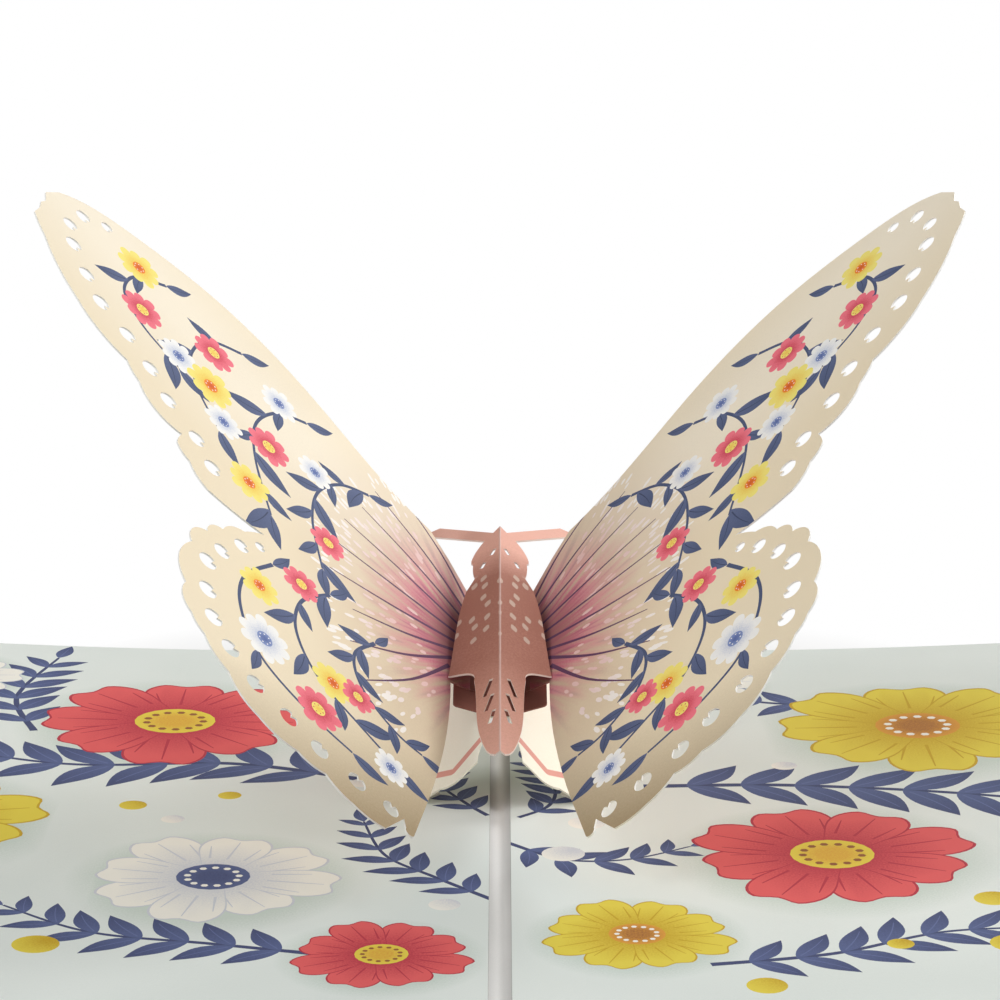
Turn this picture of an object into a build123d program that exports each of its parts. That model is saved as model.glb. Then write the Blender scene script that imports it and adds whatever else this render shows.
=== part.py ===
from build123d import *
import math
import os

# A pop-up greeting card, open flat on a table, with a paper butterfly standing on its fold.
# X runs across the two panels, Y along the fold towards the far edge, Z up. The origin lies on
# the table at the middle of the fold. Lengths are in millimetres, angles in degrees.

# Card: a folded cover with a printed liner glued on each panel
panel_width = 127.0
card_height = 178.0
cover_thickness = 0.6
liner_thickness = 0.3
liner_inset = 0.5
gutter_width = 3.4
score_depth = 0.46
flat_half_width = 30.0
curl_radius = 1400.0

# Stance of the butterfly: its back rises towards the far edge
body_pitch_angle = 17.0
tail_height = 16.0
tail_setback = 22.45
wing_dihedral_angle = 43.0
shell_slope_angle = 30.0
belly_slope_angle = 18.0
leg_slope_angle = 38.0
paper_thickness = 0.3

# Body shell, measured on the flat sheet from the crease along the back
body_length = 69.8
thorax_half_width = 9.9
antenna_length = 15.6
antenna_width = 2.3
antenna_angle = 45.5
antenna_tip_length = 1.5
abdomen_slit_width = 0.66
head_slit_width = 0.68

# Belly: a trough under the body, with a neck that carries the shell
belly_half_width = 7.8
belly_rear = 25.4
belly_front = 55.5
belly_shoulder = 46.5
belly_corner_radius = 0.6
keel_half_width = 1.5
neck_half_width = 4.2
neck_rear = 50.5
neck_flap_width = 2.4

# Wings: fore and hind wing in one sheet, with a creased root tab glued inside the belly
wing_reach = 100.0
wing_chord = 116.0
wing_tail_overhang = 24.2
wing_clearance = 0.1
root_half_width = 5.0
root_tab_width = 3.2
root_strip_width = 2.0
punch_diameter = 3.5
punch_notch_depth = 0.8
punch_notch_width = 1.1

# Leg support: a tent with foot tabs folded inwards on the liners
leg_front = 14.0
leg_rear = 46.0
leg_arch_half_width = 9.0
foot_tab_width = 5.0
foot_tab_bevel = 3.0

# Outlines as shares of the sizes that they follow: first across, then along.
# The body shell runs from the nose back to the tail, on one side of the crease.
antenna_front_shares = (0.141, 0.983)
antenna_back_shares = (0.313, 0.963)
brow_shares = ((0.313, 0.963), (0.456, 0.938), (0.586, 0.895))
temple_shares = ((0.586, 0.895), (0.586, 0.885), (0.545, 0.877))
cheek_shares = ((0.545, 0.877), (0.550, 0.845), (0.505, 0.805))
thorax_shares = ((0.677, 0.762), (0.838, 0.640), (0.919, 0.524), (1.0, 0.417))
skirt_shares = ((1.0, 0.417), (0.760, 0.400), (0.560, 0.381), (0.495, 0.347))
abdomen_shares = ((0.495, 0.347), (0.455, 0.258), (0.404, 0.129), (0.333, 0.0745), (0.242, 0.029))
tail_lobe_shares = ((0.242, 0.029), (0.172, 0.011), (0.091, 0.001), (0.0, 0.006))
abdomen_slit_shares = (
    ((0.165, 0.316), (0.299, 0.254)),
    ((0.138, 0.251), (0.269, 0.192)),
    ((0.109, 0.183), (0.199, 0.135)),
)
head_slit_shares = (((0.100, 0.901), (0.182, 0.879)), ((0.307, 0.859), (0.383, 0.838)))

# The wing runs from the root over its shoulder and leading edge to the tip, back along the margins
# to the tail and forward along the inner edge. A margin row ends with the bulge of the scallop that
# leads to it, as a share of that scallop's width.
shoulder_shares = ((0.0, 0.720), (0.056, 0.783), (0.100, 0.824))
leading_edge_shares = (
    (0.100, 0.824), (0.231, 0.866), (0.404, 0.946), (0.604, 0.999), (0.802, 0.996), (0.910, 0.976),
    (0.968, 0.946),
)
tip_shares = (
    (0.968, 0.946), (0.991, 0.917), (0.986, 0.893), (0.994, 0.880), (0.993, 0.861), (1.0, 0.839),
)
fore_margin_shares = (
    (0.970, 0.797, 0.03), (0.882, 0.696, 0.05), (0.767, 0.637, 0.08), (0.736, 0.606, 0.06),
    (0.639, 0.556, 0.16), (0.645, 0.528, 0.06), (0.616, 0.504, 0.10), (0.572, 0.467, 0.09),
    (0.452, 0.463, 0.03),
)
hind_margin_shares = (
    (0.492, 0.433, 0.05), (0.533, 0.399, 0.16), (0.561, 0.366, 0.24), (0.586, 0.315, 0.27),
    (0.585, 0.213, 0.17), (0.566, 0.156, 0.18), (0.537, 0.130, 0.08), (0.485, 0.088, 0.09),
    (0.420, 0.042, 0.10), (0.343, 0.030, 0.09), (0.287, 0.026, 0.10), (0.230, 0.005, 0.08),
    (0.166, 0.004, 0.07),
)
tail_prong_shares = (
    (0.166, 0.004), (0.131, 0.053), (0.126, 0.037), (0.117, 0.027), (0.109, 0.034), (0.097, 0.081),
)
inner_edge_shares = ((0.097, 0.081), (0.063, 0.228), (0.044, 0.395), (0.044, 0.457))
root_rear_share = 0.474
root_tab_front_share = 0.636

# Punched holes: place across and along, then the size as a share of the punch
punch_shares = (
    (0.863, 0.956, 0.70), (0.912, 0.932, 0.85), (0.931, 0.882, 0.85), (0.915, 0.834, 0.95),
    (0.877, 0.779, 0.95), (0.839, 0.734, 1.0), (0.777, 0.703, 1.0), (0.721, 0.662, 1.0),
    (0.676, 0.615, 1.0), (0.610, 0.573, 1.0), (0.571, 0.530, 1.0), (0.458, 0.425, 0.60),
    (0.494, 0.393, 0.85), (0.529, 0.345, 0.90), (0.552, 0.297, 1.0), (0.544, 0.232, 1.0),
    (0.526, 0.180, 1.0), (0.488, 0.140, 1.0), (0.434, 0.104, 1.0), (0.366, 0.086, 1.0),
    (0.303, 0.066, 1.0), (0.227, 0.057, 1.0), (0.158, 0.053, 0.90),
)

# Front edge of the leg support, as shares of its arch: down from the ridge, then out to the foot
leg_arch_shares = ((0.0, 1.0), (0.167, 1.0), (0.333, 0.48), (0.394, 0.25), (0.411, 0.07))
leg_toe_shares = ((0.411, 0.07), (0.556, 0.02), (0.811, -0.085), (0.956, -0.065), (1.08, 0.0))


def sine(angle):
    return math.sin(math.radians(angle))


def cosine(angle):
    return math.cos(math.radians(angle))


def tangent(angle):
    return math.tan(math.radians(angle))


# Places in the butterfly's own directions: across, along its back from the tail, and down from it
back_direction = Vector(0, cosine(body_pitch_angle), sine(body_pitch_angle))
up_direction = Vector(0, -sine(body_pitch_angle), cosine(body_pitch_angle))
tail_point = Vector(0, -tail_setback, tail_height)
liner_top = cover_thickness + liner_thickness


def body_point(across, along, drop):
    return tail_point + Vector(across, 0, 0) + back_direction * along - up_direction * drop


def body_section(along):
    """Plane square to the back, with local x across and local y down from the back."""
    return Plane(origin=body_point(0, along, 0), x_dir=(1, 0, 0), z_dir=back_direction)


body_plan = Plane(origin=tail_point, x_dir=(1, 0, 0), z_dir=up_direction)


def creased_sheet(points, thickness):
    """End view of a creased sheet: one face follows the points, the thickness lies to their left."""
    path = [Vector(*point) for point in points]
    sides = [(end - start).normalized().rotate(Axis.Z, 90) for start, end in zip(path, path[1:])]
    far_face = [path[0] + sides[0] * thickness]
    for crease, before, after in zip(path[1:], sides, sides[1:]):
        far_face.append(crease + (before + after) * (thickness / (1 + before.dot(after))))
    far_face.append(path[-1] + sides[-1] * thickness)
    return make_face(Polyline(*path, *reversed(far_face), close=True))


def swept_sheet(points, thickness, rear, front):
    """A creased sheet run along the back from rear to front."""
    return extrude(body_section(rear) * creased_sheet(points, thickness), amount=front - rear)


def both_sides(points):
    """A path from left to right, given its right half from the middle outwards."""
    return [(-across, drop) for across, drop in reversed(points) if across != 0] + list(points)


def shared(points, across_size, along_size):
    return [(across * across_size, along * along_size) for across, along in points]


def plan_prism(face):
    """A plan outline, cut straight through the body from above to below."""
    return extrude(body_plan * face, amount=body_length, both=True)


def blunt_slit(start, end, width):
    """A narrow slit with straight sides and square ends."""
    start, end = Vector(*start), Vector(*end)
    side = (end - start).rotate(Axis.Z, 90).normalized() * (width / 2)
    return make_face(Polyline(start + side, end + side, end - side, start - side, close=True))


def panel_strip(start, lower, thickness, inset):
    """End view of one card panel: flat beside the fold, then curling up to its outer edge."""
    curl_angle = math.degrees((panel_width - flat_half_width - inset) / curl_radius)
    centre = (flat_half_width, curl_radius)
    outer_arc = CenterArc(centre, curl_radius - lower, -90, curl_angle)
    inner_arc = CenterArc(centre, curl_radius - lower - thickness, -90, curl_angle)
    sides = Polyline(outer_arc @ 0, (start, lower), (start, lower + thickness), inner_arc @ 0)
    return make_face(outer_arc + Line(outer_arc @ 1, inner_arc @ 1) + inner_arc + sides)


def card_sheet(profile, length):
    return extrude(Plane.XZ * profile, amount=length / 2, both=True)


# Cover: one sheet with a soft scored hollow along the fold
score_half_width = gutter_width / 2
score_radius = (score_half_width**2 + score_depth**2) / (2 * score_depth)
cover_half = panel_strip(0, 0, cover_thickness, 0)
cover_profile = cover_half + mirror(cover_half, about=Plane.YZ)
cover_profile -= Pos(0, cover_thickness - score_depth + score_radius) * Circle(score_radius)
cover = card_sheet(cover_profile, card_height)

# Liners: one on each panel, with the bare fold between them
liner_profile = panel_strip(score_half_width, cover_thickness, liner_thickness, liner_inset)
right_liner = card_sheet(liner_profile, card_height - 2 * liner_inset)
left_liner = mirror(right_liner, about=Plane.YZ)


# Body shell: a gable-shaped sheet cut to the outline of head, thorax and abdomen
def shell_places(points):
    return shared(points, thorax_half_width * cosine(shell_slope_angle), body_length)


def antenna_edge(front_root, back_root):
    """Strip that leaves the head forwards and outwards, with a chamfered tip, drawn on the plan."""
    squeeze = cosine(shell_slope_angle)
    run = Vector(sine(antenna_angle) * squeeze, cosine(antenna_angle))
    width = Vector(cosine(antenna_angle) * squeeze, -sine(antenna_angle)) * antenna_width
    front_tip = Vector(*front_root) + run * antenna_length
    back_tip = front_tip + width
    point = (front_tip + back_tip) / 2 + run * antenna_tip_length
    return Polyline(front_root, front_tip, point, back_tip, back_root)


def shell_outline():
    nose = (0, body_length)
    antenna_front, antenna_back = shell_places((antenna_front_shares, antenna_back_shares))
    cheek = shell_places(cheek_shares)
    thorax = shell_places(thorax_shares)
    half = Line(nose, antenna_front) + antenna_edge(antenna_front, antenna_back)
    half += ThreePointArc(*shell_places(brow_shares)) + Polyline(*shell_places(temple_shares))
    half += ThreePointArc(*cheek) + Line(cheek[-1], thorax[0])
    half += Spline(*thorax) + Spline(*shell_places(skirt_shares))
    half += Spline(*shell_places(abdomen_shares)) + Polyline(*shell_places(tail_lobe_shares))
    return make_face(half + mirror(half, about=Plane.YZ))


shell_reach = thorax_half_width + antenna_length
shell_edge = (shell_reach * cosine(shell_slope_angle), shell_reach * sine(shell_slope_angle))
shell_path = both_sides([(0, 0), shell_edge])
shell_sheet = swept_sheet(shell_path, paper_thickness, 0, body_length + antenna_length)
shell_slits = Sketch()
for places, width in ((abdomen_slit_shares, abdomen_slit_width), (head_slit_shares, head_slit_width)):
    for pair in places:
        slit = blunt_slit(*shell_places(pair), width)
        shell_slits += slit + mirror(slit, about=Plane.YZ)
body_shell = shell_sheet & plan_prism(shell_outline() - shell_slits)

# Wing planes: the wing's upper face just clears the rear corner of the thorax, and the root
# crease lies on the root tab, which lies on the belly
thorax_corner_across = thorax_half_width * cosine(shell_slope_angle)
shell_fall = paper_thickness / cosine(shell_slope_angle)
thorax_corner_drop = thorax_half_width * sine(shell_slope_angle) + shell_fall
root_rise = (thorax_corner_across - root_half_width) * tangent(wing_dihedral_angle)
root_drop = thorax_corner_drop + wing_clearance + root_rise
wing_outward = Vector(cosine(wing_dihedral_angle), 0, 0) + up_direction * sine(wing_dihedral_angle)
wing_normal = up_direction * cosine(wing_dihedral_angle) - Vector(sine(wing_dihedral_angle), 0, 0)
wing_plane = Plane(
    origin=body_point(root_half_width, -wing_tail_overhang, root_drop),
    x_dir=wing_outward,
    z_dir=wing_normal,
)


def belly_drop(across):
    """Depth of the belly's inner face, which carries the root tabs."""
    tab_drop = root_drop + paper_thickness / cosine(belly_slope_angle)
    return tab_drop + (root_half_width - across) * tangent(belly_slope_angle)


# Wings
def wing_places(points):
    return shared(points, wing_reach, wing_chord)


def scalloped(start, rows):
    """Arcs that bulge outwards between the notches of a margin."""
    edge = Curve()
    for across, along, bulge_share in rows:
        end = Vector(across * wing_reach, along * wing_chord)
        chord = end - start
        crown = (start + end) / 2 + chord.rotate(Axis.Z, 90) * bulge_share
        edge += ThreePointArc(start, crown, end)
        start = end
    return edge


def wing_outline():
    shoulder = wing_places(shoulder_shares)
    leading = wing_places(leading_edge_shares)
    tip = wing_places(tip_shares)
    prong = wing_places(tail_prong_shares)
    inner = wing_places(inner_edge_shares)
    root_rear = (0, root_rear_share * wing_chord)
    notch = Vector(fore_margin_shares[-1][0] * wing_reach, fore_margin_shares[-1][1] * wing_chord)
    edge = Polyline(*shoulder) + Spline(*leading) + Polyline(*tip)
    edge += scalloped(Vector(*tip[-1]), fore_margin_shares)
    edge += scalloped(notch, hind_margin_shares) + Polyline(*prong[:3]) + ThreePointArc(*prong[2:5])
    edge += Line(*prong[4:]) + Spline(*inner) + Polyline(inner[-1], root_rear, shoulder[0])
    return make_face(edge)


def punched_hole(across, along, size_share):
    """A round hole with a small tooth of paper on the side that faces the root."""
    place = Vector(across * wing_reach, along * wing_chord)
    root_middle = Vector(0, (root_rear_share + root_tab_front_share) / 2 * wing_chord)
    inward = (root_middle - place).normalized()
    radius = punch_diameter / 2 * size_share
    half_notch = punch_notch_width / 2 * size_share
    reach = math.sqrt(radius**2 - half_notch**2)
    side = inward.rotate(Axis.Z, 90) * half_notch
    left = place + inward * reach + side
    right = place + inward * reach - side
    tooth = place + inward * (reach - punch_notch_depth * size_share)
    return make_face(ThreePointArc(left, place - inward * radius, right) + Polyline(right, tooth, left))


wing_face = wing_outline()
for hole in punch_shares:
    wing_face -= punched_hole(*hole)
wing_sheet = extrude(wing_plane * wing_face, amount=-paper_thickness)
root_crease = Vector(root_half_width, root_drop)
root_tab_run = Vector(-cosine(belly_slope_angle), sine(belly_slope_angle)) * root_tab_width
root_strip_run = Vector(cosine(wing_dihedral_angle), -sine(wing_dihedral_angle)) * root_strip_width
root_path = [root_crease + root_tab_run, root_crease, root_crease + root_strip_run]
root_tab_rear = root_rear_share * wing_chord - wing_tail_overhang
root_tab_front = root_tab_front_share * wing_chord - wing_tail_overhang
root_strip = swept_sheet(root_path, paper_thickness, root_tab_rear, root_tab_front)
right_wing = wing_sheet + root_strip
left_wing = mirror(right_wing, about=Plane.YZ)

# Belly: a trough with a flat keel, narrowing to a neck whose flaps lie under the shell
keel_drop = belly_drop(keel_half_width) + paper_thickness
belly_path = both_sides([(across, belly_drop(across)) for across in (keel_half_width, belly_half_width)])
belly_rear_edge = FilletPolyline(
    (-belly_half_width, belly_shoulder),
    (-belly_half_width, belly_rear),
    (belly_half_width, belly_rear),
    (belly_half_width, belly_shoulder),
    radius=belly_corner_radius,
)
belly_neck_edge = Polyline(
    (belly_half_width, belly_shoulder),
    (neck_half_width, neck_rear),
    (neck_half_width, belly_front),
    (-neck_half_width, belly_front),
    (-neck_half_width, neck_rear),
    (-belly_half_width, belly_shoulder),
)
belly_outline = make_face(belly_rear_edge + belly_neck_edge)
belly_sheet = swept_sheet(belly_path, paper_thickness, belly_rear, belly_front)
belly = belly_sheet & plan_prism(belly_outline)


def shell_drop(across):
    """Depth of the shell's lower face, which rests on the neck flaps."""
    return shell_fall + across * tangent(shell_slope_angle)


flap_end = neck_half_width - neck_flap_width
neck_path = both_sides([
    (keel_half_width, keel_drop),
    (neck_half_width, keel_drop - (neck_half_width - keel_half_width) * tangent(belly_slope_angle)),
    (neck_half_width, shell_drop(neck_half_width)),
    (flap_end, shell_drop(flap_end)),
])
belly += swept_sheet(neck_path[::-1], paper_thickness, neck_rear, belly_front)

# Leg support: a tent along the keel, cut off at the liners, with foot tabs folded inwards
def foot_place(along):
    """Where the tent's outer face meets the liner, at a place along the back."""
    drop = (along * sine(body_pitch_angle) + tail_height - liner_top) / cosine(body_pitch_angle)
    across = keel_half_width + (drop - keel_drop) / tangent(leg_slope_angle)
    return body_point(across, along, drop)


foot_front = foot_place(leg_front)
foot_rear = foot_place(leg_rear)
leg_far_across = foot_rear.X + foot_tab_width
leg_far_drop = keel_drop + (leg_far_across - keel_half_width) * tangent(leg_slope_angle)
leg_path = both_sides([(keel_half_width, keel_drop), (leg_far_across, leg_far_drop)])
arch_height = belly_rear - leg_front
arch_edge = Polyline(*shared(leg_arch_shares, leg_arch_half_width, arch_height))
toe_edge = Spline(*shared(leg_toe_shares, leg_arch_half_width, arch_height))
leg_half_edge = Pos(0, leg_front) * (arch_edge + toe_edge)
leg_half_edge += Polyline(
    leg_half_edge @ 1, (leg_far_across, leg_front), (leg_far_across, leg_rear), (0, leg_rear)
)
leg_outline = make_face(leg_half_edge + mirror(leg_half_edge, about=Plane.YZ))
above_liner = Pos(0, 0, liner_top) * Box(
    2 * panel_width, card_height, card_height, align=(Align.CENTER, Align.CENTER, Align.MIN)
)
leg_sheet = swept_sheet(leg_path, paper_thickness, 0, body_length)
leg_support = leg_sheet & plan_prism(leg_outline) & above_liner
foot_run = (foot_rear - foot_front).normalized()
foot_inward = foot_run.rotate(Axis.Z, 90)
tab_start = foot_front + foot_inward * (paper_thickness / 2)
tab_end = foot_rear + foot_inward * (paper_thickness / 2)
foot_tab_face = make_face(Polyline(
    tab_start,
    tab_end,
    tab_end + foot_inward * foot_tab_width - foot_run * foot_tab_bevel,
    tab_start + foot_inward * foot_tab_width + foot_run * foot_tab_bevel,
    close=True,
))
foot_tab = extrude(foot_tab_face, amount=paper_thickness, dir=(0, 0, 1))
leg_support += foot_tab + mirror(foot_tab, about=Plane.YZ)

# One file for each piece
pieces = {
    "cover": cover,
    "left_liner": left_liner,
    "right_liner": right_liner,
    "leg_support": leg_support,
    "belly": belly,
    "left_wing": left_wing,
    "right_wing": right_wing,
    "body_shell": body_shell,
}
os.makedirs("parts", exist_ok=True)
for name, piece in pieces.items():
    export_step(piece, f"parts/{name}.step")
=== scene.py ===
import math
import random

import bpy
import numpy as np
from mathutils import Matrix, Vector
from mathutils.geometry import delaunay_2d_cdt


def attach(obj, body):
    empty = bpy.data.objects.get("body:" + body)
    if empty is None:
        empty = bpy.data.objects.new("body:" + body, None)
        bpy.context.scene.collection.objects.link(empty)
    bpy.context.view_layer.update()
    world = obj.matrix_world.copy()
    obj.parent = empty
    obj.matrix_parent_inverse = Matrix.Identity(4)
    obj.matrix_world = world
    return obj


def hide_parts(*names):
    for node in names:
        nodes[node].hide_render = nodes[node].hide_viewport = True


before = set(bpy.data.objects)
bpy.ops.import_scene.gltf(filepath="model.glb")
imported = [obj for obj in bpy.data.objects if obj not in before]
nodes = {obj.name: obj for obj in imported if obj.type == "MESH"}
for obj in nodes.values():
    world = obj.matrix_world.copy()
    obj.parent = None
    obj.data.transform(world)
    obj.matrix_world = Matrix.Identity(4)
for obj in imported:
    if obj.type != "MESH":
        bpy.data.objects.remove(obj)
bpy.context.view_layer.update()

# Studio: the open card lies on a pale table in front of a white backdrop. A lamp stands to the
# right, with a fill beside it that only the cover, the body and the tent shade, and two weaker ones
# to the left. The eye is a little above the card's near edge.
MM = 0.001


class Shade:
    """A socket in a node tree. Arithmetic on shades adds Math nodes."""

    def __init__(self, tree, socket=None):
        self.tree = tree
        self.socket = socket

    def node(self, kind, settings, sockets, output=0):
        made = self.tree.nodes.new("ShaderNode" + kind)
        for key, value in settings.items():
            setattr(made, key, value)
        for key, value in sockets.items():
            if isinstance(value, Shade):
                self.tree.links.new(value.socket, made.inputs[key])
            else:
                made.inputs[key].default_value = value
        return Shade(self.tree, made.outputs[output])

    def math(self, operation, first, second=0.0):
        return self.node("Math", {"operation": operation}, {0: first, 1: second})

    def into(self, socket):
        self.tree.links.new(self.socket, socket)

    def __add__(self, other):
        return self.math("ADD", self, other)

    __radd__ = __add__

    def __sub__(self, other):
        return self.math("SUBTRACT", self, other)

    def __rsub__(self, other):
        return self.math("SUBTRACT", other, self)

    def __mul__(self, other):
        return self.math("MULTIPLY", self, other)

    __rmul__ = __mul__

    def __truediv__(self, other):
        return self.math("DIVIDE", self, other)

    def __abs__(self):
        return self.math("ABSOLUTE", self)

    def clamped(self):
        return self.math("MINIMUM", self.math("MAXIMUM", self, 0.0), 1.0)

    def rising(self, low, high):
        """0 below low, 1 above high."""
        return ((self - low) / (high - low)).clamped()


def colour(red, green, blue):
    """A colour as it is seen on a screen, 0 to 255, as light."""
    seen = [value / 255 for value in (red, green, blue)]
    light = [v / 12.92 if v <= 0.04045 else ((v + 0.055) / 1.055) ** 2.4 for v in seen]
    return (*light, 1.0)


def blended(shade, first, second, share):
    """One colour turning into another by a share."""
    return shade.node("Mix", {"data_type": "RGBA"}, {0: share, 6: first, 7: second}, 2)


def started(name):
    material = bpy.data.materials.new(name)
    material.use_nodes = True
    return material, Shade(material.node_tree), material.node_tree.nodes["Principled BSDF"]


def seen_directly(shade):
    """1 for what the eye sees, also in a gloss or through glass, and 0 for the light on things."""
    rays = ("Is Camera Ray", "Is Glossy Ray", "Is Transmission Ray")
    camera, gloss, glass = (shade.node("LightPath", {}, {}, ray) for ray in rays)
    return (camera + gloss + glass).clamped()


scene = bpy.context.scene
scene.view_settings.view_transform = "Standard"
eye_place, eye_tilt, eye_lens = (0.0, -0.488, 0.165), math.radians(76.9), 111.6
eye = bpy.data.cameras.new("eye")
eye.sensor_width = 36.0
eye.lens = eye_lens
eye.clip_start, eye.clip_end = 0.01, 50.0
eye_stand = bpy.data.objects.new("eye", eye)
eye_stand.location = eye_place
eye_stand.rotation_euler = (eye_tilt, 0.0, 0.0)
scene.collection.objects.link(eye_stand)
scene.camera = eye_stand

surroundings = bpy.data.worlds.new("surroundings")
surroundings.use_nodes = True
scene.world = surroundings
air = Shade(surroundings.node_tree)
backdrop_white = (1.0, 1.0, 1.0, 1.0)
room_grey = (0.25, 0.25, 0.25, 1.0)
background = surroundings.node_tree.nodes["Background"]
blended(air, room_grey, backdrop_white, seen_directly(air)).into(background.inputs["Color"])

card_middle = Vector((0.0, 0.0, 0.05))
low_pieces = bpy.data.collections.new("low_pieces")
for node in ("cover", "leg_support", "belly", "body_shell"):
    low_pieces.objects.link(nodes[node])
for name, place, width, power, blockers in (
    ("side_lamp", (0.69, 0.69, 0.57), 0.4, 4.5, None),
    ("side_fill", (1.03, 0.0, 0.43), 0.4, 6.0, low_pieces),
    ("weak_lamp", (-0.97, -0.17, 0.53), 0.5, 3.2, None),
    ("near_lamp", (-0.60, -0.60, 0.76), 0.5, 2.6, None),
):
    lamp = bpy.data.lights.new(name, "AREA")
    lamp.size = width
    lamp.energy = power
    stand = bpy.data.objects.new(name, lamp)
    stand.location = place
    stand.light_linking.blocker_collection = blockers
    stand.rotation_euler = (card_middle - Vector(place)).to_track_quat("-Z", "Y").to_euler()
    scene.collection.objects.link(stand)

table_half, table_drop = 4.0, 0.0001
fade_start, fade_end = 0.088, 0.125
table_ends = ((-1, -1), (1, -1), (1, 1), (-1, 1))
table_mesh = bpy.data.meshes.new("table")
table_mesh.from_pydata(
    [(x * table_half, y * table_half, -table_drop) for x, y in table_ends], [], [(0, 1, 2, 3)]
)
table = bpy.data.objects.new("table", table_mesh)
scene.collection.objects.link(table)
table_finish, base, shader = started("table_white")
shader.inputs["Base Color"].default_value = colour(244, 244, 243)
shader.inputs["Roughness"].default_value = 0.9
shader.inputs["Specular IOR Level"].default_value = 0.1
glow = base.node("Emission", {}, {"Color": backdrop_white, "Strength": 1.0})
lit = Shade(base.tree, shader.outputs[0])
table_spot = base.node("TexCoord", {}, {}, "Object")
away = base.node("VectorMath", {"operation": "LENGTH"}, {0: table_spot}, "Value")
whitened = seen_directly(base) * away.rising(fade_start, fade_end)
shown = base.node("MixShader", {}, {0: whitened, 1: lit, 2: glow})
shown.into(base.tree.nodes["Material Output"].inputs["Surface"])
table_mesh.materials.append(table_finish)


# Cover: one sheet of white board, scored and folded once down the middle. It shows as the bare
# strip between the liners, at its trimmed edges and on its plain outside.
def places(shade):
    """Where a point is, in millimetres, in the card's own frame."""
    spot = shade.node("TexCoord", {}, {}, "Object")
    return shade.node("VectorMath", {"operation": "SCALE"}, {0: spot, "Scale": 1.0 / MM})


def axes(shade, spot):
    return [shade.node("SeparateXYZ", {}, {0: spot}, name) for name in "XYZ"]


def mottle(shade, spot, scale, detail=2.0):
    """Even noise about a half, with scale repeats to the millimetre."""
    return shade.node("TexNoise", {}, {"Vector": spot, "Scale": scale, "Detail": detail}, 0)


def paper_feel(shade, shader, spot, fold=None):
    """The dull tooth of uncoated paper: fibres and a slow cockle, over a fold if there is one."""
    fibres_per_mm, fibre_detail, cockles_per_mm, cockle_height = 4.5, 4.0, 0.12, 1.5
    least_roughness, fibre_roughness, paper_gloss = 0.60, 0.16, 0.25
    tooth_strength, tooth_depth = 0.35, 0.035 * MM
    fibres = mottle(shade, spot, fibres_per_mm, fibre_detail)
    cockle = mottle(shade, spot, cockles_per_mm)
    (least_roughness + fibres * fibre_roughness).into(shader.inputs["Roughness"])
    height = fibres + cockle * cockle_height
    relief = {"Strength": tooth_strength, "Distance": tooth_depth, "Height": height}
    if fold:
        bent = {"Strength": 1.0, "Distance": MM, "Height": fold}
        relief["Normal"] = shade.node("Bump", {}, bent)
    shade.node("Bump", {}, relief).into(shader.inputs["Normal"])
    shader.inputs["Specular IOR Level"].default_value = paper_gloss
    return fibres


def dress(node, material):
    for holder in nodes[node].material_slots:
        holder.material = material


score_half_width, score_sag = 1.7, 1.0
edge_shadow_strength, hollow_shade_strength, clouds_per_mm = 0.7, 0.3, 0.05
board_light, board_dull = colour(230, 229, 226), colour(212, 211, 207)
board_in_shade = colour(150, 148, 145)
cover_finish, base, shader = started("cover_board")
spot = places(base)
from_fold = abs(axes(base, spot)[0]) / score_half_width
hollow = from_fold.clamped()
fibres = paper_feel(base, shader, spot, hollow * hollow * score_sag)
board_blend = (fibres * 0.8 + mottle(base, spot, clouds_per_mm) * 0.6).clamped()
board = blended(base, board_dull, board_light, board_blend)
# Towards its edges the bare strip is painted darker, as shade in the hollow of the fold, with a
# darker painted shadow line at each edge where the liners' cut edges stand.
on_the_strip = 1.0 - from_fold.rising(1.02, 1.06)
edge_shadow = from_fold.rising(0.88, 0.99) * on_the_strip * edge_shadow_strength
hollow_shade = from_fold.rising(0.2, 1.0) * on_the_strip * hollow_shade_strength
painted_shade = base.math("MAXIMUM", edge_shadow, hollow_shade)
blended(base, board, board_in_shade, painted_shade).into(shader.inputs["Base Color"])
dress("cover", cover_finish)


# Liners: two sheets of pale grey-green paper, printed with loose blossoms, fern sprays and dots in
# soft sprayed inks, trimmed just inside the cover and glued flat to its panels.
def smooth(points, steps, closed=False):
    """A soft line through the points."""
    spots = [np.array(p, float) for p in points]
    count = len(spots)
    line = []
    for i in range(count if closed else count - 1):
        if closed:
            a, b, c, d = (spots[(i + k) % count] for k in (-1, 0, 1, 2))
        else:
            a, b, c, d = (spots[min(max(i + k, 0), count - 1)] for k in (-1, 0, 1, 2))
        for step in range(steps):
            u = step / steps
            line.append(0.5 * (
                2 * b + (c - a) * u + (2 * a - 5 * b + 4 * c - d) * u**2
                + (3 * b - a - 3 * c + d) * u**3
            ))
    if not closed:
        line.append(spots[-1])
    return np.array(line)


def around(centre, radius, count, start=0.0):
    turns = start + np.arange(count) / count * 2 * math.pi
    return np.array(centre) + radius * np.stack([np.cos(turns), np.sin(turns)], 1)


def fade_round(centre, inner, outer):
    """Full at the centre, none beyond the outer radius."""
    centre = np.array(centre)

    def fade(p):
        return np.clip((outer - np.linalg.norm(p - centre, axis=-1)) / (outer - inner), 0, 1)

    return fade


def fade_along(start, end):
    start, run = np.array(start), np.array(end) - np.array(start)
    return lambda p: np.clip(1 - (p - start) @ run / (run @ run), 0, 1)


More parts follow.
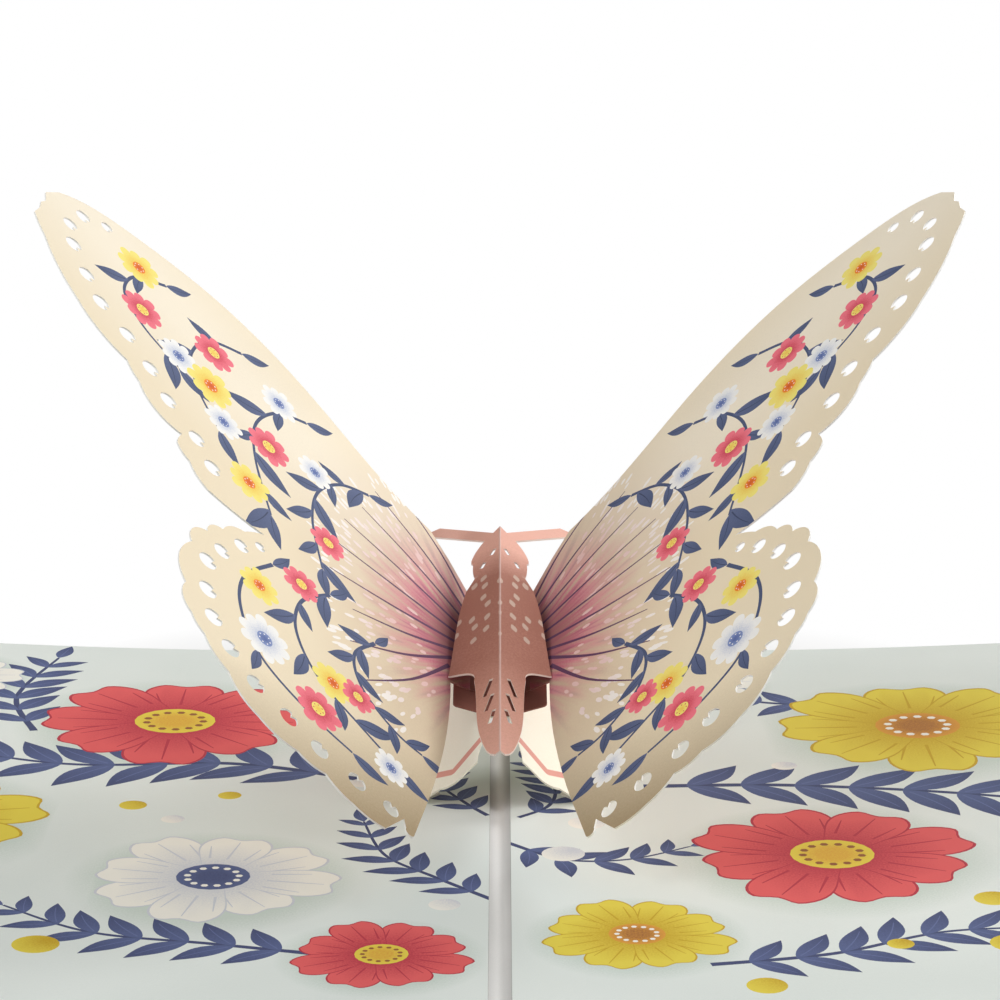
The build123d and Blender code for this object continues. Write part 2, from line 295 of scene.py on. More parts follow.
class Print:
    """What is printed on a sheet: soft sprays first, then the shapes in their order."""

    def __init__(self):
        self.sprays = []
        self.shapes = []

    def layers(self):
        return self.sprays + self.shapes

    def shape(self, points, ink, wash=None, fade=None):
        self.shapes.append((np.array(points, float), ink, wash or ink, fade))

    def spray(self, centre, inner, outer, ink, strength):
        """A round mist of ink that thins out to nothing."""
        fade = fade_round(centre, inner, outer)
        self.sprays.append((around(centre, outer, 28), (*ink[:3], 0.0), (*ink[:3], strength), fade))

    def disc(self, centre, radius, ink, wash=None, fade=None, count=16):
        self.shape(around(centre, radius, count), ink, wash, fade)

    def stroke(self, line, start_width, end_width, ink):
        line = np.array(line, float)
        run = np.gradient(line, axis=0)
        side = np.stack([-run[:, 1], run[:, 0]], 1)
        side /= np.linalg.norm(side, axis=1)[:, None]
        half = np.linspace(start_width, end_width, len(line))[:, None] / 2
        self.shape(np.concatenate([line + side * half, (line - side * half)[::-1]]), ink)

    def leaf(self, foot, turn, length, width, ink, wash, rib, bend=0.12):
        """A pointed leaf with a rib."""
        u = np.linspace(0, 1, 11)
        rise = np.sin(np.pi * u**0.85)
        way = np.array([math.cos(turn), math.sin(turn)])
        side = np.array([-way[1], way[0]])
        foot = np.array(foot, float)
        middle = foot + np.outer(u * length, way) + np.outer(bend * length * (u - u**2) * 2, side)
        half = np.outer(rise * width / 2, side)
        rim = np.concatenate([middle + half, (middle - half)[-2:0:-1]])
        self.shape(rim, ink, wash, fade_along(foot, middle[-1]))
        self.stroke(middle[1:9], 0.07 * width, 0.03 * width, rib)

    def petal(self, centre, turn, inner, outer, width, ink, wash, teeth=0.0, lines=0):
        profile = [(0.0, 0.34), (0.3, 0.72), (0.6, 0.98), (0.82, 0.92), (0.96, 0.55)]
        reach = outer - inner
        rim = [(inner + u * reach, half * width / 2) for u, half in profile]
        crown = [(outer - teeth * reach, 0.0)]
        ring = rim + crown + [(r, -h) for r, h in reversed(rim)]
        way = np.array([math.cos(turn), math.sin(turn)])
        side = np.array([-way[1], way[0]])
        points = [np.array(centre) + r * way + h * side for r, h in ring]
        self.shape(smooth(points, 3, True), ink, wash, fade_round(centre, inner, outer * 0.78))
        for k in range(lines):
            aside = (k + 0.5) / lines - 0.5
            ends = [(0.34, 0.75), (0.86 - 0.5 * abs(aside), 1.1)]
            line = [
                np.array(centre) + (inner + u * reach) * way + aside * v * width * side
                for u, v in ends
            ]
            self.stroke(line, 0.024 * outer, 0.008 * outer, wash)

    def daisy(self, centre, radius, petals, inks, turn, teeth, seeds, lines=0):
        """Petals round a disc, shaded from their feet, and with a dark rim if they have lines."""
        petal_ink, petal_wash, disc_ink, disc_wash, seed_ink = inks
        foot, disc, seed_ring, seed = (radius * share for share in (0.14, 0.30, 0.21, 0.032))
        rim_reach, rim_width = 1.02, 1.06
        step = 2 * math.pi / petals
        width = 1.12 * step * radius * 0.66
        for order in list(range(0, petals, 2)) + list(range(1, petals, 2)):
            reach = radius * (1 + 0.06 * math.sin(order * 2.4 + turn * 5))
            way = turn + order * step
            if lines:
                rim = (reach * rim_reach, width * rim_width, petal_wash, petal_wash)
                self.petal(centre, way, foot, *rim, teeth)
            self.petal(centre, way, foot, reach, width, petal_ink, petal_wash, teeth, lines)
        self.disc(centre, disc, disc_ink, disc_wash, fade_round(centre, 0, radius * 0.28), 20)
        for spot in around(centre, seed_ring, seeds, turn):
            self.disc(spot, seed, seed_ink, count=6)


def cut_sheet(outline, openings, work, lines=()):
    """The sheet's points and triangles, split at each printed edge, and what is printed on each."""
    spots, faces, edges = [], [], []
    for loop in [outline, *openings, *(shape[0] for shape in work.layers())]:
        x, y = np.array(loop).T
        anticlockwise = np.sum(x * np.roll(y, -1) - y * np.roll(x, -1)) > 0
        faces.append(list(range(len(spots), len(spots) + len(loop))))
        spots.extend(Vector(p) for p in (loop if anticlockwise else loop[::-1]))
    for line in lines:
        edges.extend((len(spots) + k, len(spots) + k + 1) for k in range(len(line) - 1))
        spots.extend(Vector(p) for p in line)
    points, _, triangles, _, _, owners = delaunay_2d_cdt(spots, edges, faces, 1, 1e-5, True)
    first_shape = 1 + len(openings)
    kept, printed = [], []
    for triangle, owner in zip(triangles, owners):
        if 0 in owner and not any(1 <= k < first_shape for k in owner):
            kept.append(triangle)
            printed.append(max(owner) - first_shape if max(owner) >= first_shape else -1)
    used = sorted({k for triangle in kept for k in triangle})
    place = {k: order for order, k in enumerate(used)}
    flat = np.array([tuple(points[k]) for k in used])
    return flat, [[place[k] for k in triangle] for triangle in kept], printed


def printed_sheet(name, points, triangles, printed, work, front, back, edge_ink, flipped=False):
    """A closed sheet: front and back both printed, and every cut edge in its own ink. On its map
    the two faces, which are alike, lie over each other, and edges share a patch for each ink."""
    count = len(points)
    sides = dict.fromkeys(side for t in triangles for side in zip(t, t[1:] + t[:1]))
    walls = [
        (end, start, start + count, end + count)
        for start, end in sides if (end, start) not in sides
    ]
    under = [tuple(k + count for k in reversed(t)) for t in triangles]
    faces = [tuple(t) for t in triangles] + under + walls
    marks = list(printed) * 2 + [None] * len(walls)
    if flipped:
        faces = [tuple(reversed(f)) for f in faces]
    mesh = bpy.data.meshes.new(name)
    spots = np.concatenate([front(points), back(points)]) * MM
    mesh.from_pydata([tuple(p) for p in spots], [], faces)
    flat = np.concatenate([points, points])
    map_margin, print_height, patch_size, patch_step = 0.004, 0.95, 0.03, 0.05
    print_map = (flat - flat.min(0)) / np.ptp(flat, 0) * (1 - 2 * map_margin, print_height)
    patch_corners = np.array([(0, 0), (1, 0), (1, 1), (0, 1)]) * patch_size
    no_ink = (0, 0, 0, 0)
    edge_inks = []
    layers = work.layers()
    ink, wash, tone, on_map = [], [], [], []
    for face, mark in zip(faces, marks):
        face_ink, face_wash, fade = no_ink, no_ink, None
        if mark is None:
            face_ink = face_wash = edge_ink(flat[list(face)].mean(0))
            if face_ink not in edge_inks:
                edge_inks.append(face_ink)
            patch = (patch_step * edge_inks.index(face_ink), print_height + 3 * map_margin)
            on_map.extend(map_margin + patch_corners + patch)
        else:
            on_map.extend(map_margin + print_map[list(face)])
            if mark >= 0:
                _, face_ink, face_wash, fade = layers[mark]
        for corner in face:
            ink.append(face_ink)
            wash.append(face_wash)
            tone.append(float(fade(flat[corner])) if fade else 0.0)
    for title, values in (("ink", ink), ("wash", wash)):
        colours = mesh.attributes.new(title, "FLOAT_COLOR", "CORNER").data
        colours.foreach_set("color", np.array(values, float).ravel())
    mesh.attributes.new("tone", "FLOAT", "CORNER").data.foreach_set("value", tone)
    mesh.uv_layers.new(name="OFBake").data.foreach_set("uv", np.array(on_map, float).ravel())
    spread = np.column_stack([flat, np.zeros(len(flat))])
    mesh.attributes.new("flat", "FLOAT_VECTOR", "POINT").data.foreach_set("vector", spread.ravel())
    piece = bpy.data.objects.new(name, mesh)
    scene.collection.objects.link(piece)
    return piece


def printed_colour(shade, flat, ground):
    """The bare sheet where nothing is printed, and sprayed inks where something is."""
    ink = shade.node("Attribute", {"attribute_name": "ink"}, {}, "Color")
    inked = shade.node("Attribute", {"attribute_name": "ink"}, {}, "Alpha")
    wash = shade.node("Attribute", {"attribute_name": "wash"}, {}, "Color")
    washed = shade.node("Attribute", {"attribute_name": "wash"}, {}, "Alpha")
    tone = shade.node("Attribute", {"attribute_name": "tone"}, {}, "Fac")
    full_tone, grits_per_mm, grit_strength = 1.15, 3.2, 3.2
    grit = (mottle(shade, flat, grits_per_mm, 1.0) - 0.5) * grit_strength
    spray = (tone * full_tone + grit * tone * (full_tone - tone)).clamped()
    work = blended(shade, ink, wash, spray)
    cover = inked + (washed - inked) * spray
    return blended(shade, ground, work, cover)


navy, navy_pale, navy_rib = colour(56, 64, 102), colour(80, 92, 134), colour(92, 104, 146)
coral, coral_deep = colour(222, 92, 92), colour(176, 46, 62)
lemon, lemon_deep = colour(226, 206, 72), colour(196, 160, 30)
chalk, chalk_shade = colour(244, 241, 230), colour(205, 208, 214)
ochre, brown = colour(214, 150, 52), colour(140, 84, 40)
paper_core, leaf_mist = colour(246, 244, 238), colour(176, 194, 178)
coral_inks = (coral, coral_deep, lemon, ochre, brown)
lemon_inks = (lemon, lemon_deep, ochre, brown, chalk)
chalk_inks = (chalk, chalk_shade, navy_pale, navy, chalk)


def measured(line):
    """A line's length, and where it is at a given length from its start."""
    lengths = np.concatenate([[0], np.cumsum(np.linalg.norm(np.diff(line, axis=0), axis=1))])

    def at(reach):
        return np.array([np.interp(reach, lengths, line[:, i]) for i in (0, 1)])

    return lengths[-1], at


def fern(work, route, leaflet, gap):
    """A curved stem with paired leaflets that shorten towards its tip."""
    leaflet_turn, width_share, stem_share = 0.82, 0.36, 0.12
    inks = (navy, navy_pale, navy_rib)
    line = smooth(route, 14)
    total, at = measured(line)
    work.stroke(line, leaflet * stem_share, leaflet * stem_share * 0.35, navy)
    pairs = int((total - gap) // gap)
    for k in range(pairs + 1):
        reach = gap * (k + 0.8)
        foot, ahead = at(reach), at(reach + 1)
        turn = math.atan2(*(ahead - foot)[::-1])
        size = leaflet * (0.55 + 0.45 * math.sin(math.pi * min(0.2 + 0.8 * reach / total, 1.0)))
        for hand in (-1, 1):
            way = turn + hand * leaflet_turn
            work.leaf(foot, way, size, size * width_share, *inks, -0.1 * hand)
    turn = math.atan2(*(line[-1] - line[-2])[::-1])
    work.leaf(line[-1], turn, leaflet * 0.7, leaflet * 0.7 * width_share, *inks, 0.0)


def scattered_dots(work, low, high, count, keep_off, seed, inks):
    """Dots of two inks in a field, clear of the blooms and of each other."""
    smallest, largest, clear = 1.6, 3.6, 4
    draw = random.Random(seed)
    taken = list(keep_off)
    while count:
        spot = np.array([draw.uniform(low[0], high[0]), draw.uniform(low[1], high[1])])
        radius = draw.uniform(smallest, largest)
        if all(np.hypot(*(spot - np.array(c))) > r + radius + clear for c, r in taken):
            taken.append((spot, radius))
            ink, wash = inks[count % len(inks)]
            work.disc(spot, radius, ink, wash, fade_round(spot + radius * 0.5, 0, radius * 1.6), 24)
            count -= 1


card_half_height = 88.5
liner_near, liner_far, liner_top, liner_depth = 1.7, 126.4, 0.9, 0.3
flat_half_width, curl_radius = 30.0, 1400.0


def liner_face(lowered):
    """Where the sheet lies: flat beside the fold, then curling up with the cover."""
    radius = curl_radius - liner_top + lowered

    def place(points):
        x, y = points.T
        past = np.maximum(np.abs(x) - flat_half_width, 0)
        return np.stack([x, y, curl_radius - np.sqrt(radius**2 - past**2)], 1)

    return place


liner_finish, base, shader = started("liner_paper")
spot = places(base)
fibres = paper_feel(base, shader, spot)
flat = base.node("Attribute", {"attribute_name": "flat"}, {}, "Vector")
sheet_pale, sheet_deep = colour(236, 241, 236), colour(220, 227, 221)
drift = (mottle(base, flat, 0.02) * 1.6 - 0.35 + (fibres - 0.5) * 0.7).clamped()
ground = blended(base, sheet_deep, sheet_pale, drift)
printed_colour(base, flat, ground).into(shader.inputs["Base Color"])

left_work, right_work = Print(), Print()
bloom_petals, petal_teeth, bloom_seeds, petal_lines = 8, 0.09, 13, 3
dot_count, dots_near, dots_far, dots_end, bend_step = 11, 8, 120, 82, 8
dot_inks = ((lemon, lemon_deep), (chalk, chalk_shade), (chalk, chalk_shade), (lemon, lemon_deep))
left_blooms = [
    ((-58, 42), 24, coral_inks), ((-98, -14), 24, lemon_inks), ((-44, -38), 19, chalk_inks),
    ((-104, 66), 15, chalk_inks), ((-17, -70), 13, coral_inks),
]
right_blooms = [
    ((74, 38), 25, lemon_inks), ((52, -28), 22, coral_inks), ((104, -58), 16, chalk_inks),
    ((34, 66), 14, chalk_inks), ((20, -62), 14, lemon_inks),
]
for work, route, leaflet, gap in (
    (left_work, [(-24, 10), (-46, 18), (-74, 16), (-100, 24)], 16, 9.0),
    (left_work, [(-26, -70), (-42, -66), (-60, -62), (-74, -52)], 11, 7.0),
    (left_work, [(-82, 34), (-88, 54), (-84, 80)], 12, 7.0),
    (left_work, [(-1, -48), (-10, -38), (-18, -28), (-22, -12)], 9, 6.0),
    (left_work, [(-2, -9), (-6, -2), (-10, 8), (-9, 22)], 8, 5.0),
    (right_work, [(24, 6), (50, 6), (82, -2), (110, -18)], 16, 9.0),
    (right_work, [(60, 52), (44, 56), (24, 78)], 12, 7.0),
    (right_work, [(1, -22), (10, -30), (20, -30), (30, -24)], 9, 6.0),
    (right_work, [(3, -10), (8, -4), (9, 6), (5, 20)], 8, 5.0),
    (right_work, [(30, -74), (48, -70), (66, -62), (88, -62)], 11, 7.0),
):
    fern(work, route, leaflet, gap)
for side, work, blooms in ((-1, left_work, left_blooms), (1, right_work, right_blooms)):
    for order, (centre, radius, inks) in enumerate(blooms):
        work.spray(np.array(centre) - (0, radius * 0.1), radius * 0.8, radius * 1.2, leaf_mist, 0.5)
        turn = 0.3 * order
        work.daisy(centre, radius, bloom_petals, inks, turn, petal_teeth, bloom_seeds, petal_lines)
    low, high = sorted((side * dots_near, side * dots_far))
    keep_off = [(c, r) for c, r, _ in blooms]
    field = (low, -dots_end), (high, dots_end)
    scattered_dots(work, *field, dot_count, keep_off, 5 + side, dot_inks)
    near, far = side * liner_near, side * liner_far
    rim = ((near, -1), (far, -1), (far, 1), (near, 1))
    outline = [(x, end * card_half_height) for x, end in rim]
    bends = [
        [(side * x, -card_half_height), (side * x, card_half_height)]
        for x in np.arange(flat_half_width, liner_far, bend_step)
    ]
    name = "left_liner" if side < 0 else "right_liner"
    points, triangles, printed = cut_sheet(outline, [], work, bends)
    front, back = liner_face(0), liner_face(liner_depth)
    piece = printed_sheet(
        name + "_print", points, triangles, printed, work, front, back, lambda p: paper_core
    )
    piece.data.materials.append(liner_finish)
    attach(piece, "root")
    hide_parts(name)


# Leg support: a tent of cream paper under the body, with foot tabs glued to the liners. Its front
# edge is cut to an arch, and two thin lines printed beside that edge stand for the legs.
pitch = math.radians(17.0)
tail_setback, tail_height = 22.45, 16.0


def body_directions(shade, spot):
    """Across from the middle, along the back from the tail, and up from the back."""
    x, y, z = axes(shade, spot)
    behind, over = y + tail_setback, z - tail_height
    along = behind * math.cos(pitch) + over * math.sin(pitch)
    above = over * math.cos(pitch) - behind * math.sin(pitch)
    return abs(x), along, above


def line_distance(x, y, points):
    """How far a place is from a jointed line."""
    nearest = None
    for (x0, y0), (x1, y1) in zip(points, points[1:]):
        run_x, run_y = x1 - x0, y1 - y0
        share = (((x - x0) * run_x + (y - y0) * run_y) / (run_x**2 + run_y**2)).clamped()
        gap_x, gap_y = x - x0 - share * run_x, y - y0 - share * run_y
        gap = gap_x.math("SQRT", gap_x * gap_x + gap_y * gap_y)
        nearest = gap if nearest is None else gap.math("MINIMUM", nearest, gap)
    return nearest


cream_dull, cream_light = colour(250, 243, 222), colour(255, 253, 238)
salmon = colour(226, 160, 146)
leg_line = [(2.0, 21.8), (7.75, 16.4), (10.4, 18.4), (15.0, 20.9)]
leg_half, leg_edge = 0.58, 0.70
tab_top, tab_clear = 1.5, 1.7
support_finish, base, shader = started("support_paper")
spot = places(base)
fibres = paper_feel(base, shader, spot)
across, along, above = body_directions(base, spot)
cream = blended(base, cream_dull, cream_light, (fibres * 1.4 - 0.2).clamped())
legs = 1.0 - line_distance(across, along, leg_line).rising(leg_half, leg_edge)
off_the_tabs = axes(base, spot)[2].rising(tab_top, tab_clear)
blended(base, cream, salmon, legs * off_the_tabs).into(shader.inputs["Base Color"])
dress("leg_support", support_finish)


# Belly: a shallow trough of brown paper, glued along its keel to the tent. It takes the wings' root
# tabs, and its neck holds the shell up. Its dark brown is partly its own colour and partly painted
# shade, for the shade it lies in under the shell.
belly_dark, belly_light = colour(126, 80, 70), colour(148, 96, 84)
belly_finish, base, shader = started("belly_paper")
spot = places(base)
fibres = paper_feel(base, shader, spot)
blended(base, belly_dark, belly_light, fibres).into(shader.inputs["Base Color"])
dress("belly", belly_finish)


# Wings: fore and hind wing of each side are one sheet of cream paper, printed on both faces with
# leafy garlands and daisies, die-cut with a scalloped edge and a row of holes, and glued in by a
# root tab.
lift = math.radians(43.0)
tab_fall = math.radians(18.0)
wing_depth, root_half_width, tail_overhang = 0.3, 5.0, 24.2
root_drop = 8.72887
wing_chord = 116.0
tab_width, tab_rear, tab_front = 3.2, 0.474 * wing_chord, 0.636 * wing_chord
flush_reach, flush_front = 4.6, 90.0
back_way = np.array([0, math.cos(pitch), math.sin(pitch)])
up_way = np.array([0, -math.sin(pitch), math.cos(pitch)])
side_way = np.array([1.0, 0, 0])
tail_point = np.array([0, -tail_setback, tail_height])
root_point = tail_point + side_way * root_half_width - back_way * tail_overhang - up_way * root_drop
outward = side_way * math.cos(lift) + up_way * math.sin(lift)
wing_normal = up_way * math.cos(lift) - side_way * math.sin(lift)


def face_loops(node, normal, origin, x_way, y_way):
    """The outline of the cut sheet's face that looks along normal, and of its holes, laid flat."""
    mesh = nodes[node].data
    spots = np.array([v.co for v in mesh.vertices]) / MM
    steps = {}
    for face in mesh.polygons:
        if np.dot(face.normal, normal) > 0.999:
            ring = [tuple(np.round(spots[k], 4)) for k in face.vertices]
            for start, end in zip(ring, ring[1:] + ring[:1]):
                if steps.get(end, {}).pop(start, None) is None:
                    steps.setdefault(start, {})[end] = True
    loops = []
    while any(steps.values()):
        start = next(k for k, v in steps.items() if v)
        ring, spot = [], start
        while steps.get(spot):
            ring.append(spot)
            spot = steps[spot].popitem()[0]
        loops.append(np.array(ring) - origin)
    loops.sort(key=lambda ring: -np.ptp(ring[:, 1]))
    return [np.stack([ring @ x_way, ring @ y_way], 1) for ring in loops]


def wing_edge(spot):
    """White paper at the cut edges, but the flush runs over them at the root."""
    return root_ink if spot[0] < flush_reach and spot[1] < flush_front else paper_core


def wing_face(hand, lowered):
    """Where the sheet lies: on its lifted plane, mirrored for the left wing."""

    def place(points):
        t, s = points.T
        spots = root_point + np.outer(t, outward) + np.outer(s, back_way) - wing_normal * lowered
        return spots * np.array([hand, 1, 1])

    return place


wing_navy, wing_navy_pale, wing_rib = colour(66, 78, 112), colour(86, 98, 134), colour(46, 56, 88)
rose, rose_deep = colour(246, 122, 138), colour(208, 60, 82)
yolk, yolk_deep = colour(252, 236, 128), colour(246, 204, 84)
snow, snow_shade = colour(253, 252, 248), colour(204, 211, 228)
rose_inks = (rose, rose_deep, yolk, yolk_deep, rose_deep)
yolk_inks = (yolk, yolk_deep, colour(246, 140, 40), colour(214, 84, 30), snow)
snow_inks = (snow, snow_shade, colour(130, 148, 196), colour(84, 102, 160), snow)
root_ink = colour(150, 98, 92)
wing_work = Print()
loops = face_loops("right_wing", wing_normal, root_point, outward, back_way)
holes = [(ring.mean(0), np.ptp(ring, 0).max() / 2) for ring in loops[1:]]


def off_the_holes(foot, turn, length):
    """Whether a leaf stays clear of the punched holes."""
    way = np.array([math.cos(turn), math.sin(turn)])
    spots = [foot + way * length * share for share in (0.35, 0.7, 1.0)]
    return all(np.hypot(*(spot - hole)) > radius + 1.0 for spot in spots for hole, radius in holes)


def garland(work, route, leaf_length, blooms, first_hand):
    """A thin winding stem with leaves to both sides, and stalks whose daisies are printed last."""
    leaf_inks = (wing_navy, wing_navy_pale, wing_rib)
    first_leaf = (leaf_length * 0.7, leaf_length * 0.25)
    last_leaf = (leaf_length * 0.85, leaf_length * 0.3)
    leaf_turn, leaf_width, leaf_gap, stalk_turn = 0.80, 0.36, 0.50, 1.1
    line = smooth(route, 16)
    total, at = measured(line)

    def way(reach):
        run = at(min(reach + 0.6, total)) - at(max(reach - 0.6, 0))
        return math.atan2(run[1], run[0])

    work.stroke(line, 0.8, 0.5, wing_navy)
    first_way = way(0) + math.pi
    if off_the_holes(at(0), first_way, first_leaf[0]):
        work.leaf(at(0), first_way, *first_leaf, *leaf_inks)
    heads = []
    for share, aside, radius, petals, inks in blooms:
        foot = at(share * total)
        turn = way(share * total) + math.copysign(stalk_turn, aside)
        head = foot + abs(aside) * np.array([math.cos(turn), math.sin(turn)])
        knee = (foot + head) / 2 + 0.12 * (head - foot)[::-1]
        work.stroke(smooth([foot, knee, head], 6), 0.7, 0.55, wing_navy)
        heads.append((head, radius, petals, inks, turn))
    hand, reach = first_hand, 1.5
    while reach < total - 1.0:
        foot, turn = at(reach), way(reach) + hand * leaf_turn
        size = leaf_length * (0.86 + 0.20 * math.sin(reach * 1.7))
        tip = foot + size * 0.7 * np.array([math.cos(turn), math.sin(turn)])
        off_the_heads = all(np.hypot(*(tip - head[0])) > head[1] + 0.5 for head in heads)
        if off_the_heads and off_the_holes(foot, turn, size):
            work.leaf(foot, turn, size, size * leaf_width, *leaf_inks, -0.12 * hand)
        hand = -hand
        reach += leaf_length * leaf_gap
    if off_the_holes(at(total), way(total), last_leaf[0]):
        work.leaf(at(total), way(total), *last_leaf, *leaf_inks)
    return heads


root_middle = np.array([0.0, 66.0])
vein_plum, fleck_near, fleck_far = colour(92, 56, 88), colour(236, 202, 198), colour(255, 249, 242)
fleck_count, vein_count = 230, 9
draw = random.Random(11)
for k in range(fleck_count):
    turn = math.radians(draw.uniform(-66, 58))
    depth = math.sqrt(draw.random())
    way = np.array([math.cos(turn), math.sin(turn)])
    side = np.array([-way[1], way[0]])
    spot = root_middle + way * (10 + 27 * depth) + np.array([0, 6 * math.sin(turn)])
    long, wide = draw.uniform(0.6, 1.4), draw.uniform(0.28, 0.5)
    ring = [spot + way * long * c + side * wide * s for c, s in around((0, 0), 1.0, 8)]
    ink = tuple(np.interp(depth, (0.4, 0.8), ends) for ends in zip(fleck_near, fleck_far))
    wing_work.shape(ring, ink)
for k in range(vein_count):
    turn = math.radians(-52 + k * 12.6)
    way = np.array([math.cos(turn), math.sin(turn)])
    foot = np.array([4.8 - 0.55 * k, 57.5 + 2.9 * k])
    bow = np.array([-way[1], way[0]]) * (k - 4) * 0.35
    far = foot + way * draw.uniform(24, 31)
    wing_work.stroke(smooth([foot, (foot + far) / 2 + bow, far], 6), 0.8, 0.2, vein_plum)
daisies = []
for route, leaf_length, first_hand, blooms in (
    ([(72.5, 107), (79, 101.5), (80, 94), (75, 88), (67, 84)], 9.5, 1,
     [(0.12, 3.0, 4.6, 9, yolk_inks), (0.50, -4.0, 4.4, 9, rose_inks),
      (0.90, -3.5, 4.2, 10, snow_inks)]),
    ([(55, 104.5), (62, 100), (65, 91), (62.5, 82), (57, 74.5)], 10.0, -1,
     [(0.22, -3.0, 4.4, 9, rose_inks), (0.60, -4.5, 5.0, 9, yolk_inks),
      (0.90, -3.0, 4.0, 10, snow_inks)]),
    ([(39.5, 98.5), (46, 94), (50, 85), (49, 74), (44.5, 61)], 10.0, 1,
     [(0.10, 3.0, 4.2, 10, snow_inks), (0.46, -4.0, 4.6, 9, rose_inks),
      (0.82, 3.5, 4.4, 9, yolk_inks)]),
    ([(24.5, 91), (31, 87), (35.5, 79), (36, 69), (33, 57)], 9.0, -1,
     [(0.28, 3.5, 3.8, 9, snow_inks), (0.74, -3.5, 3.8, 9, rose_inks)]),
    ([(43, 47), (48, 38), (48, 29), (43, 20), (33, 15), (24, 13)], 9.0, 1,
     [(0.14, -3.0, 4.0, 9, yolk_inks), (0.46, -4.0, 5.2, 10, snow_inks),
      (0.80, -3.5, 4.6, 9, rose_inks)]),
    ([(31, 51), (36.5, 43), (37, 34), (32, 26), (23, 21.5), (15, 18)], 9.0, -1,
     [(0.10, 3.0, 3.8, 9, rose_inks), (0.60, -3.5, 4.2, 9, yolk_inks),
      (0.97, 2.0, 3.6, 10, snow_inks)]),
    ([(21, 47), (25, 39.5), (23, 32), (16, 27), (10, 26)], 7.5, 1,
     [(0.55, 3.0, 3.4, 9, rose_inks)]),
):
    daisies.extend(garland(wing_work, route, leaf_length, blooms, first_hand))
for head, radius, petals, inks, turn in daisies:
    wing_work.daisy(head, radius, petals, inks, turn, 0.0, 7)

wing_finish, base, shader = started("wing_paper")
spot = places(base)
fibres = paper_feel(base, shader, spot)
flat = base.node("Attribute", {"attribute_name": "flat"}, {}, "Vector")
t, s, _ = axes(base, flat)
reach_s = s - float(root_middle[1])
reach = base.math("SQRT", t * t + reach_s * reach_s * 0.72)
grain = mottle(base, flat, 2.6, 1.5)
turn = base.math("ARCTAN2", reach_s, t + 6.0)
fan = base.node("CombineXYZ", {}, {0: turn * 13.0, 1: reach * 0.06})
streaks = mottle(base, fan, 1.0, 2.0)
fading = 1.0 - reach.rising(10.0, 32.0)
misted = (streaks - 0.5) * 1.5 + (grain - 0.5) * 0.6
flush = ((1.0 - reach.rising(7.0, 26.0)) * 1.25 + misted * fading).clamped()
cream_pale, cream_deep = colour(252, 241, 219), colour(244, 229, 199)
wing_tan_and_shade = colour(170, 150, 118)
foreward = 1.0 - abs(s - t * 0.40 - 74.0).rising(4.0, 30.0)
wing_cream = blended(base, cream_deep, cream_pale, (foreward + (grain - 0.5) * 0.3).clamped())
root_tan = colour(208, 182, 156)
flush_tan, flush_rose = colour(198, 160, 142), colour(214, 126, 144)
flush_mauve, flush_deep = colour(168, 100, 124), colour(148, 90, 92)
flush_colour = blended(base, flush_tan, flush_rose, streaks.rising(0.36, 0.54))
flush_colour = blended(base, flush_colour, flush_mauve, streaks.rising(0.56, 0.70))
flush_colour = blended(base, flush_deep, flush_colour, reach.rising(4.0, 15.0))
# Towards the tail the cream turns tan, partly printed and partly painted shade, and near the inner
# edge it is painted darker as the shade of the body.
tail_tan_and_shade = (1.0 - (s + t * 0.35).rising(4.0, 32.0)) * 1.05
inner_edge_shade = (1.0 - t.rising(4.0, 30.0)) * (1.0 - s.rising(26.0, 56.0))
clouds = (mottle(base, flat, 0.03) - 0.5) * 0.25
tan_and_painted_shade = (tail_tan_and_shade + inner_edge_shade * 0.22 + clouds + (grain - 0.5) * 0.22).clamped()
ground = blended(base, wing_cream, wing_tan_and_shade, tan_and_painted_shade)
ground = blended(base, ground, root_tan, (1.0 - reach.rising(16.0, 44.0)) * 0.6)
ground = blended(base, ground, flush_colour, flush)
printed_colour(base, flat, ground).into(shader.inputs["Base Color"])

points, triangles, printed = cut_sheet(loops[0], loops[1:], wing_work)
tab_way = -side_way * math.cos(tab_fall) - up_way * math.sin(tab_fall)
tab_normal = up_way * math.cos(tab_fall) - side_way * math.sin(tab_fall)
tab_rim = ((tab_rear, 0), (tab_front, 0), (tab_front, tab_width), (tab_rear, tab_width))
tab_sides = ((0, 1, 2, 3), (7, 6, 5, 4), (1, 0, 4, 5), (2, 1, 5, 6), (3, 2, 6, 7), (0, 3, 7, 4))
for hand, name in ((1, "right_wing"), (-1, "left_wing")):
    front, back = wing_face(hand, 0), wing_face(hand, wing_depth)
    piece = printed_sheet(
        name + "_print", points, triangles, printed, wing_work, front, back, wing_edge, hand < 0
    )
    piece.data.materials.append(wing_finish)
    mirror = np.array([hand, 1, 1])
    corners = [
        (root_point + back_way * run + tab_way * wide - tab_normal * deep) * mirror * MM
        for deep in (0, wing_depth) for run, wide in tab_rim
    ]
    faces = [side if hand > 0 else side[::-1] for side in tab_sides]
    tab_mesh = bpy.data.meshes.new(name + "_tab")
    tab_mesh.from_pydata([tuple(c) for c in corners], [], faces)
    tab = bpy.data.objects.new(name + "_tab", tab_mesh)
    tab_mesh.materials.append(belly_finish)
    scene.collection.objects.link(tab)
    for sheet in (piece, tab):
        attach(sheet, "root")
        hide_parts(name)


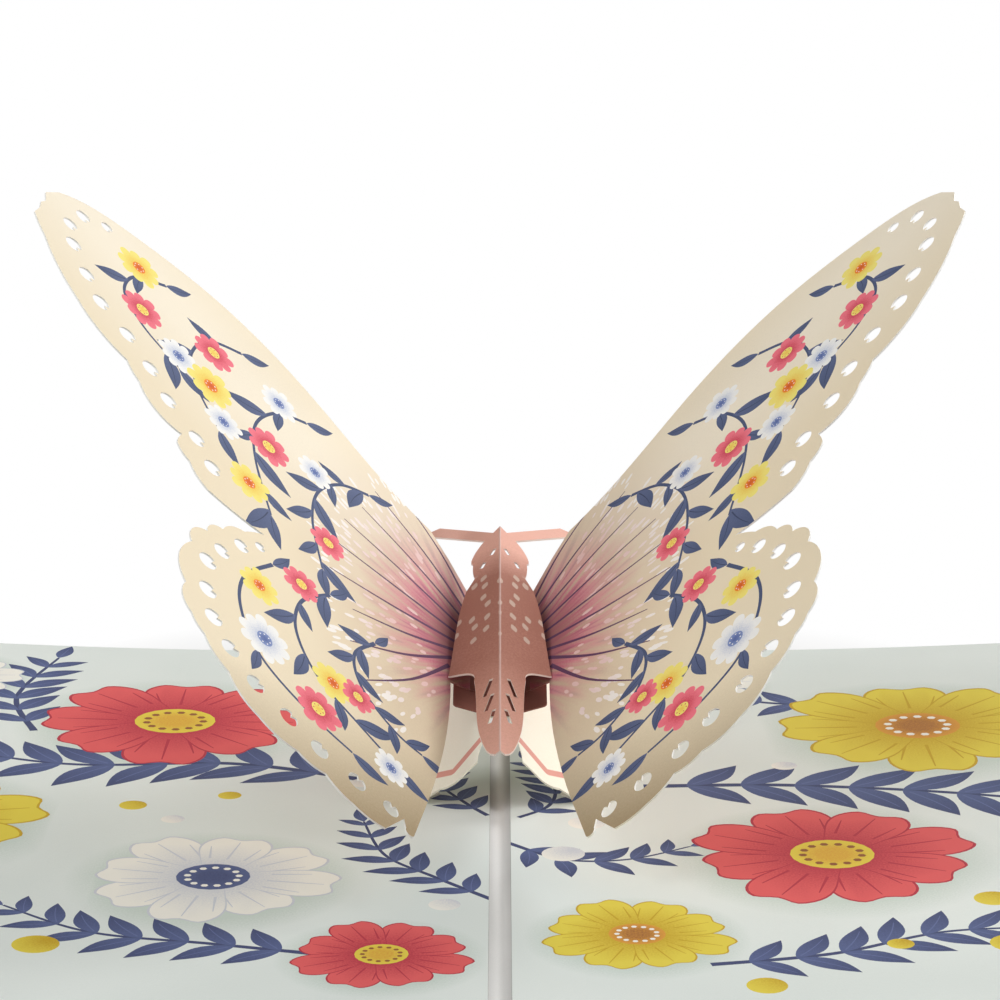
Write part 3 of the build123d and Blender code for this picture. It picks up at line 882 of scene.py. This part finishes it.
# Body shell: one creased sheet of dusty salmon paper, die-cut to head, antennae, thorax and
# abdomen, with narrow slits, printed with pale flecks, and glued over the belly's neck.
shell_finish, base, shader = started("body_paper")
spot = places(base)
fibres = paper_feel(base, shader, spot)
across, along, above = body_directions(base, spot)
slope = math.radians(30.0)
spread = across / math.cos(slope)
grain = mottle(base, spot, 2.8, 1.5)
salmon_pale, salmon_deep = colour(240, 184, 166), colour(172, 116, 99)
fleck_pale, crease_pale = colour(216, 192, 176), colour(228, 200, 192)
core_pale = colour(240, 226, 218)
# Over the thorax the salmon is darker, partly printed and partly painted shade from the wings.
thorax_print_and_shade = along.rising(-2.0, 30.0) * (1.0 - along.rising(54.0, 64.0))
band = (thorax_print_and_shade + (mottle(base, spot, 0.06) - 0.5) * 0.4 + (grain - 0.5) * 0.4).clamped()
body = blended(base, salmon_pale, salmon_deep, band)
fleck_step, fleck_row, fleck_half, fleck_reach, fleck_lean = 2.7, 3.3, 0.72, 1.15, 0.4
column = spread / fleck_step + 0.5
row = (along + spread * 0.9) / fleck_row
cell_column, cell_row = base.math("FLOOR", column), base.math("FLOOR", row)
cell = base.node("CombineXYZ", {}, {0: cell_column, 1: cell_row})
scatter = base.node("TexWhiteNoise", {}, {"Vector": cell}, "Color")
drift_column, drift_row, presence = axes(base, scatter)
aside = (column - cell_column - 0.5 + (drift_column - 0.5) * 0.45) * fleck_step
ahead = (row - cell_row - 0.5 + (drift_row - 0.5) * 0.4) * fleck_row - aside * 0.9
across_fleck = abs(aside + ahead * fleck_lean) / fleck_half
along_fleck = abs(ahead - aside * fleck_lean) / fleck_reach
rounded = across_fleck * across_fleck + along_fleck * along_fleck
fleck = (rounded + across_fleck + along_fleck) * 0.5 + (mottle(base, spot, 1.4) - 0.5) * 0.5
on_thorax = along.rising(33.0, 35.0) * (1.0 - along.rising(55.0, 57.0))
fleck_share = (1.0 - fleck.rising(0.75, 1.05)) * (on_thorax * presence.rising(0.34, 0.38)) * 0.85
body = blended(base, body, fleck_pale, fleck_share)
crease = (1.0 - across.rising(0.10, 0.24)) * (0.45 + mottle(base, spot, 0.7) * 0.5)
body = blended(base, body, crease_pale, crease)
facing = base.node("NewGeometry", {}, {}, "True Normal")
ways = {0: facing, 1: tuple(up_way)}
upright = base.node("VectorMath", {"operation": "DOT_PRODUCT"}, ways, "Value")
cut_edge = 1.0 - abs(upright).rising(0.3, 0.5)
blended(base, body, core_pale, cut_edge * 0.9).into(shader.inputs["Base Color"])
dress("body_shell", shell_finish)
